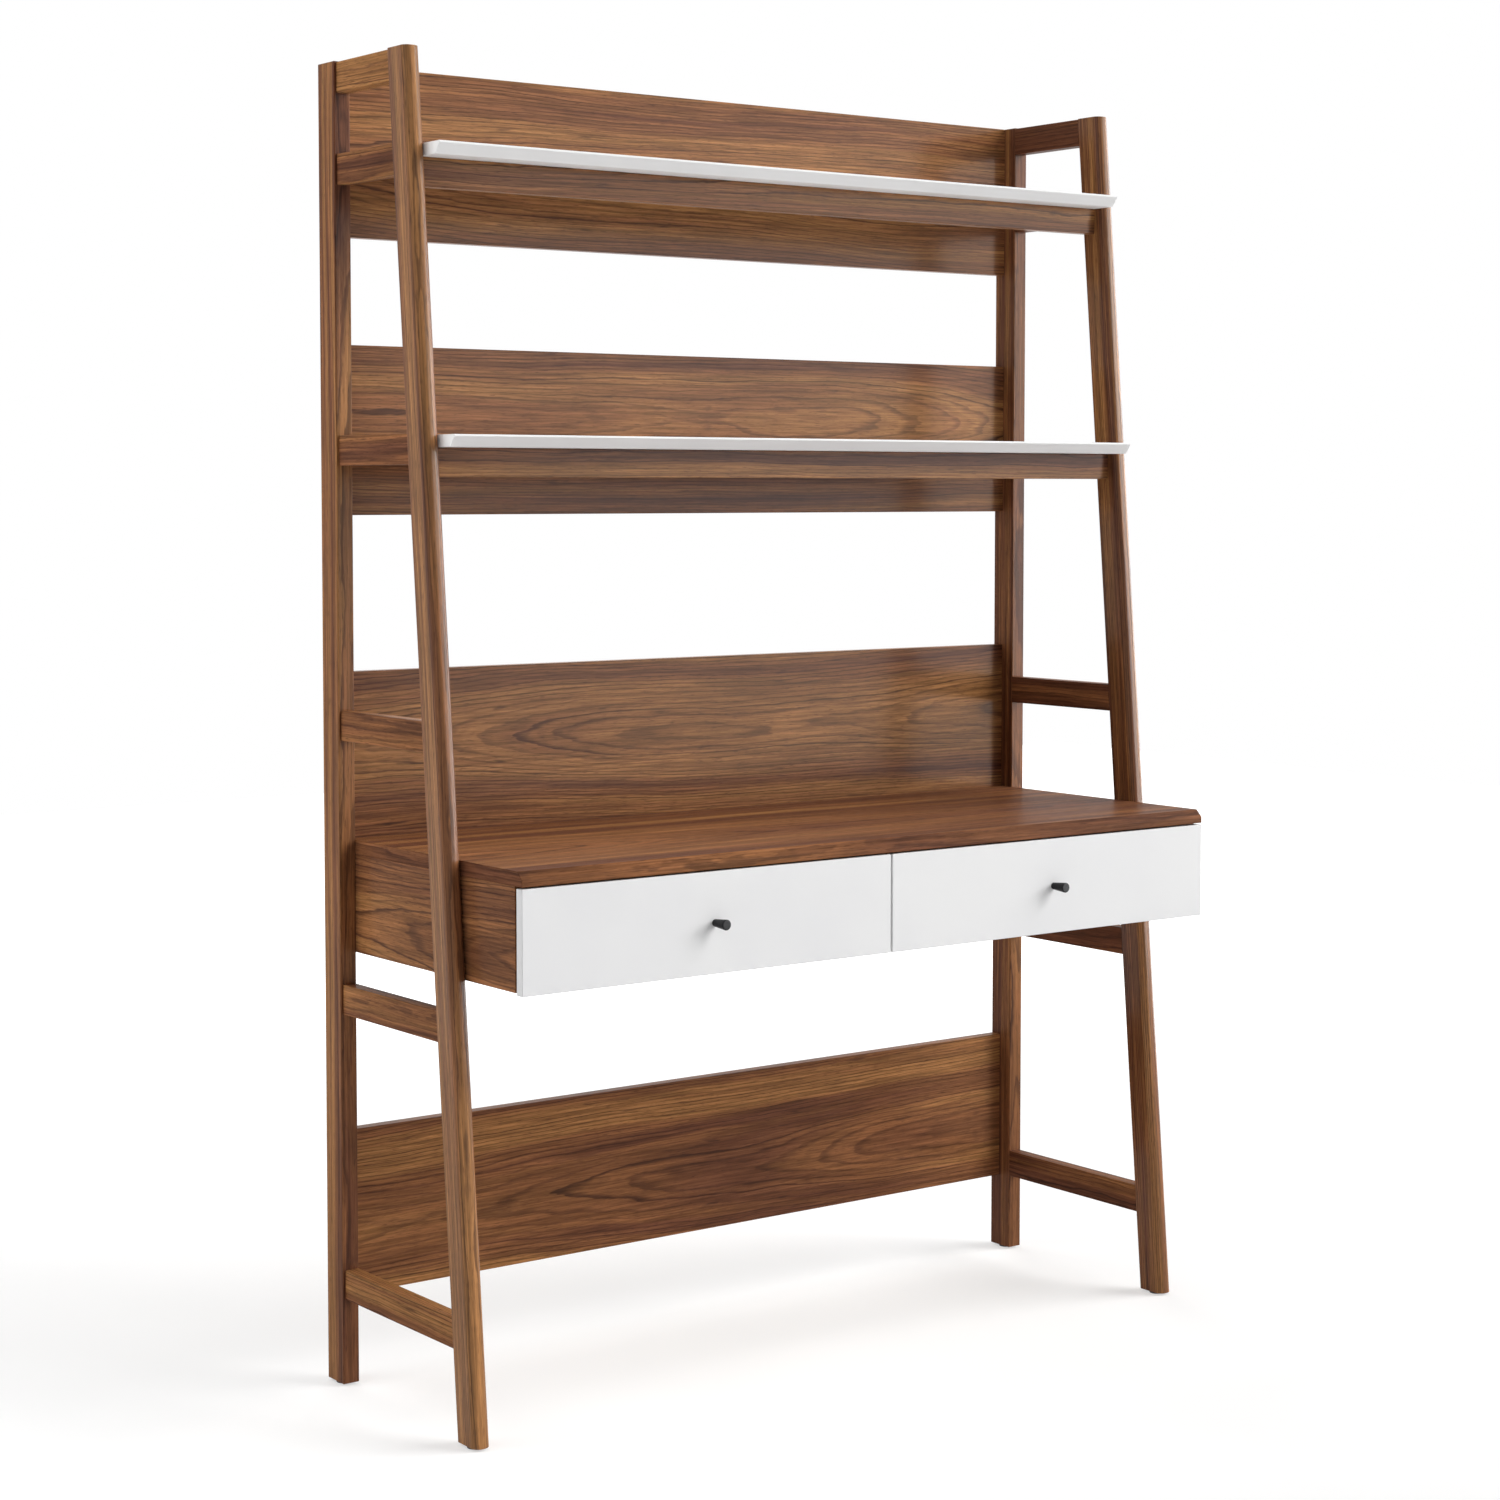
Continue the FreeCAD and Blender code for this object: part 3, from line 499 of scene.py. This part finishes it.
# Pale plywood of the drawer boxes, with plies that show at its edges
PLY_THICKNESS = 0.0015
PLY_START = 1.0
PLY_COLORS = (srgb(206, 176, 134), srgb(222, 196, 156))
PLY_FIBRE_COLOR = srgb(176, 140, 96)
PLY_EDGE_COLOR = srgb(168, 128, 86)
PLY_BAND = {"stretch": (1.2, 14.0, 1.0), "detail": 3.0}
PLY_FIBRE = {"stretch": grainy(16.0, 500.0)}
PLY_BAND_STEP = (0.35, 0.65)
PLY_FIBRE_STEP = (0.4, 0.75, 0.0, 0.3)
PLY_EDGE_STEP = (0.4, 0.6, 0.0, 0.45)
PLY_ROUGHNESS = (0.2, 0.8, 0.42, 0.52)
PLY_GLOSS = 0.35
PLY_BUMP = Bump(distance=0.00008, strength=0.4)


def dress_in_plywood(node, grain):
    material, graph = new_material("plywood_" + node)
    place = place_in_piece(graph, node, grain)
    seeded = graph.vector("ADD", place, random_place(random.Random(node)))
    depth = graph.math("ADD", graph.split(place)["Z"], PLY_START)
    parity = graph.math("PINGPONG", graph.math("DIVIDE", depth, PLY_THICKNESS), 1.0)
    band = graph.noise(seeded, **PLY_BAND)["Fac"]
    fibre = graph.noise(seeded, **PLY_FIBRE)["Fac"]
    color = graph.mix(graph.fade(band, *PLY_BAND_STEP), *PLY_COLORS)
    color = graph.mix(graph.fade(fibre, *PLY_FIBRE_STEP), color, PLY_FIBRE_COLOR)
    color = graph.mix(graph.fade(parity, *PLY_EDGE_STEP), color, PLY_EDGE_COLOR)
    roughness = graph.fade(fibre, *PLY_ROUGHNESS)
    shader = {"Base Color": color, "Roughness": roughness, "Specular IOR Level": PLY_GLOSS}
    finish_material(graph, shader, fibre, PLY_BUMP)
    dress(node, material)


def dress_boxes():
    dress_in_plywood("case_bottom", GRAIN_ACROSS_FLAT)
    dress_in_plywood("case_back", GRAIN_ACROSS)
    for side in SIDES:
        for wall in ("outer_side", "inner_side"):
            dress_in_plywood(f"{side}_drawer_{wall}", GRAIN_DEPTH)
        dress_in_plywood(f"{side}_drawer_back", GRAIN_ACROSS)
        dress_in_plywood(f"{side}_drawer_bottom", GRAIN_ACROSS_FLAT)


# Beech dowels
BEECH_COLORS = (srgb(214, 178, 132), srgb(190, 150, 106))
BEECH_FLECK = {"stretch": even(180.0), "detail": 3.0}
BEECH_STEP = (0.35, 0.65)
BEECH_ROUGHNESS = 0.6
BEECH_BUMP = Bump(distance=0.0001, strength=0.4)


def dress_dowels():
    material, graph = new_material("beech_dowel")
    fleck = graph.noise(graph.where(), **BEECH_FLECK)["Fac"]
    color = graph.mix(graph.fade(fleck, *BEECH_STEP), *BEECH_COLORS)
    finish_material(graph, {"Base Color": color, "Roughness": BEECH_ROUGHNESS}, fleck, BEECH_BUMP)
    dress("wood_dowels", material)


# Plated steel with drawn marks that run from front to rear, and cast zinc
Metal = namedtuple("Metal", "colors roughness marks")
STEEL = Metal(
    colors=(srgb(178, 179, 181), srgb(185, 186, 188)),
    roughness=(0.3, 0.7, 0.3, 0.36),
    marks={"stretch": (900.0, 12.0, 900.0), "detail": 3.0},
)
ZINC = Metal(
    colors=(srgb(150, 151, 155), srgb(178, 179, 182)),
    roughness=(0.3, 0.7, 0.38, 0.52),
    marks={"stretch": even(400.0), "detail": 3.0},
)
METAL_CLOUD = {"stretch": even(60.0)}
METAL_BUMP = Bump(distance=0.00001, strength=0.2)
SIDE_STEEL = ("knob_screw", "case_runners", "drawer_runners", "drawer_runner_screws", "ball_cages")
SHARED_STEEL = ("cam_bolts", "leg_bolts", "case_screws", "case_runner_screws")


def make_metal(name, metal):
    material, graph = new_material(name)
    where = graph.where()
    marks = graph.noise(where, **metal.marks)["Fac"]
    cloud = graph.noise(where, **METAL_CLOUD)["Fac"]
    color = graph.mix(graph.fade(cloud, *CLOUD_STEP), *metal.colors)
    roughness = graph.fade(marks, *metal.roughness)
    finish_material(graph, {"Base Color": color, "Roughness": roughness, "Metallic": 1.0}, marks, METAL_BUMP)
    return material


def dress_metal():
    steel = make_metal("zinc_steel", STEEL)
    for group in SHARED_STEEL:
        dress(group, steel)
    for side in SIDES:
        for group in SIDE_STEEL:
            dress(f"{side}_{group}", steel)
    dress("cam_discs", make_metal("cast_zinc", ZINC))


# Satin black knobs, with fine turned rings round their axis
BLACK_COLORS = (srgb(22, 22, 24), srgb(32, 32, 34))
BLACK_CLOUD = {"stretch": even(220.0)}
TURNED_RINGS = {"stretch": (1800.0, 1800.0, 1.0), "detail": 1.0}
BLACK_ROUGHNESS = (0.3, 0.7, 0.36, 0.48)
BLACK_GLOSS = 0.15
BLACK_BUMP = Bump(distance=0.00003, strength=0.3)


def dress_knob(node):
    material, graph = new_material("black_metal_" + node)
    place = place_in_piece(graph, node, GRAIN_DEPTH)
    radius = graph.vector("LENGTH", graph.vector("MULTIPLY", place, ACROSS_GRAIN))
    along = graph.split(place)["X"]
    turned = graph.noise(graph.combine(along, radius, 0.0), **TURNED_RINGS)["Fac"]
    cloud = graph.noise(place, **BLACK_CLOUD)["Fac"]
    color = graph.mix(graph.fade(cloud, *CLOUD_STEP), *BLACK_COLORS)
    roughness = graph.fade(turned, *BLACK_ROUGHNESS)
    shader = {"Base Color": color, "Roughness": roughness, "Specular IOR Level": BLACK_GLOSS}
    finish_material(graph, shader, turned, BLACK_BUMP)
    dress(node, material)


# Dark plastic glides, with the fine grain of a mould
PLASTIC_COLORS = (srgb(34, 30, 28), srgb(50, 46, 43))
PLASTIC_GRAIN = {"stretch": even(900.0)}
PLASTIC_ROUGHNESS = (0.3, 0.7, 0.5, 0.62)
PLASTIC_BUMP = Bump(distance=0.00006, strength=0.5)


def dress_glides():
    material, graph = new_material("dark_plastic")
    grain = graph.noise(graph.where(), **PLASTIC_GRAIN)["Fac"]
    color = graph.mix(graph.fade(grain, *CLOUD_STEP), *PLASTIC_COLORS)
    shader = {"Base Color": color, "Roughness": graph.fade(grain, *PLASTIC_ROUGHNESS)}
    finish_material(graph, shader, grain, PLASTIC_BUMP)
    dress("foot_glides", material)


# White room, and a pale floor that keeps the shadow near the desk and is lifted to white further away
WORLD_STRENGTH = 0.12
FLOOR_SIZE = 14.0
FLOOR_WHITE_FROM = 1.6
FLOOR_WHITE_TO = 3.4
FLOOR_LIFT = 0.52
FLOOR_GREYS = (srgb(188, 188, 188), srgb(192, 192, 192))
FLOOR_BOUNCE = srgb(230, 230, 230)
FLOOR_CLOUD = {"stretch": even(3.0)}


def seen_directly(graph):
    """One where the eye, a reflection or a clear surface looks at it, and zero for the light it gives."""
    rays = graph.add("ShaderNodeLightPath").outputs
    seen = graph.math("MAXIMUM", rays["Is Camera Ray"], rays["Is Glossy Ray"])
    return graph.math("MAXIMUM", seen, rays["Is Transmission Ray"])


def make_world():
    world = bpy.data.worlds.new("studio")
    world.use_nodes = True
    world.node_tree.nodes.clear()
    graph = Graph(world.node_tree)
    strength = graph.fade(seen_directly(graph), 0.0, 1.0, WORLD_STRENGTH, 1.0)
    background = graph.add("ShaderNodeBackground", {"Color": WHITE, "Strength": strength})
    graph.feed(graph.add("ShaderNodeOutputWorld").inputs["Surface"], background.outputs[0])
    scene.world = world


def make_floor_material():
    material, graph = new_material("studio_floor")
    where = graph.where()
    cloud = graph.noise(where, **FLOOR_CLOUD)["Fac"]
    grey = graph.mix(graph.fade(cloud, *CLOUD_STEP), *FLOOR_GREYS)
    seen = seen_directly(graph)
    matt = graph.add("ShaderNodeBsdfDiffuse", {"Color": graph.mix(seen, FLOOR_BOUNCE, grey)})
    distance = graph.vector("LENGTH", where)
    lift = graph.fade(distance, FLOOR_WHITE_FROM, FLOOR_WHITE_TO, FLOOR_LIFT, 1.0)
    glow = graph.add("ShaderNodeEmission", {"Color": WHITE, "Strength": graph.math("MULTIPLY", seen, lift)})
    both = graph.add("ShaderNodeAddShader")
    graph.feed(both.inputs[0], matt.outputs[0])
    graph.feed(both.inputs[1], glow.outputs[0])
    graph.feed(graph.add("ShaderNodeOutputMaterial").inputs["Surface"], both.outputs[0])
    return material


def make_floor():
    half = FLOOR_SIZE / 2
    mesh = bpy.data.meshes.new("floor")
    corners = [(-half, -half, 0), (half, -half, 0), (half, half, 0), (-half, half, 0)]
    mesh.from_pydata(corners, [], [(0, 1, 2, 3)])
    mesh.materials.append(make_floor_material())
    add_object("floor", mesh)


# Wide lights come from far away: turned to the right of the front and raised above the floor, in degrees
WideLight = namedtuple("WideLight", "turn rise spread strength")
WIDE_LIGHTS = {
    "right_front_light": WideLight(turn=57.0, rise=30.0, spread=46.0, strength=3.5),
    "left_light": WideLight(turn=-85.0, rise=40.0, spread=60.0, strength=0.6),
}

# Lamps stand near the desk. Some light only the gloss of a surface, and one only its colour.
Lamp = namedtuple("Lamp", "place target size power diffuse glossy", defaults=(True, True))
LAMPS = {
    "sheen_lamp": Lamp((2.5, -2.8, 1.33), (0.05, 0.2, 1.1), size=(2.4, 1.95), power=190.0, diffuse=False),
    "edge_lamp": Lamp((3.3, -0.4, 1.2), (0.0, 0.0, 1.0), size=(1.5, 2.3), power=120.0, diffuse=False),
    "rear_lamp": Lamp((0.6, 3.0, 3.0), (0.0, 0.0, 0.9), size=(3.0, 2.4), power=62.0),
    "left_lamp": Lamp((-1.35, 0.5, 1.35), (-0.6, 0.0, 1.2), size=(0.9, 2.0), power=8.0, glossy=False),
    "top_lamp": Lamp((0.2, -0.8, 3.4), (0.0, 0.0, 0.7), size=(2.0, 1.5), power=6.0),
}


def make_wide_light(name, light):
    data = bpy.data.lights.new(name, "SUN")
    data.angle = math.radians(light.spread)
    data.energy = light.strength
    turn = math.radians(light.turn)
    rise = math.radians(light.rise)
    level = math.cos(rise)
    source = Vector((math.sin(turn) * level, -math.cos(turn) * level, math.sin(rise)))
    aim(add_object(name, data), -source)


def make_lamp(name, lamp):
    data = bpy.data.lights.new(name, "AREA")
    data.shape = "RECTANGLE"
    data.size, data.size_y = lamp.size
    data.energy = lamp.power
    thing = add_object(name, data)
    thing.location = lamp.place
    aim(thing, Vector(lamp.target) - Vector(lamp.place))
    thing.visible_camera = False
    thing.visible_diffuse = lamp.diffuse
    thing.visible_glossy = lamp.glossy


def make_studio():
    make_world()
    make_floor()
    for name, light in WIDE_LIGHTS.items():
        make_wide_light(name, light)
    for name, lamp in LAMPS.items():
        make_lamp(name, lamp)
    scene.view_settings.view_transform = "Standard"


make_camera()
make_studio()
dress_walnut()
dress_white()
dress_boxes()
dress_dowels()
dress_metal()
for side in SIDES:
    dress_knob(side + "_knob")
dress_glides()
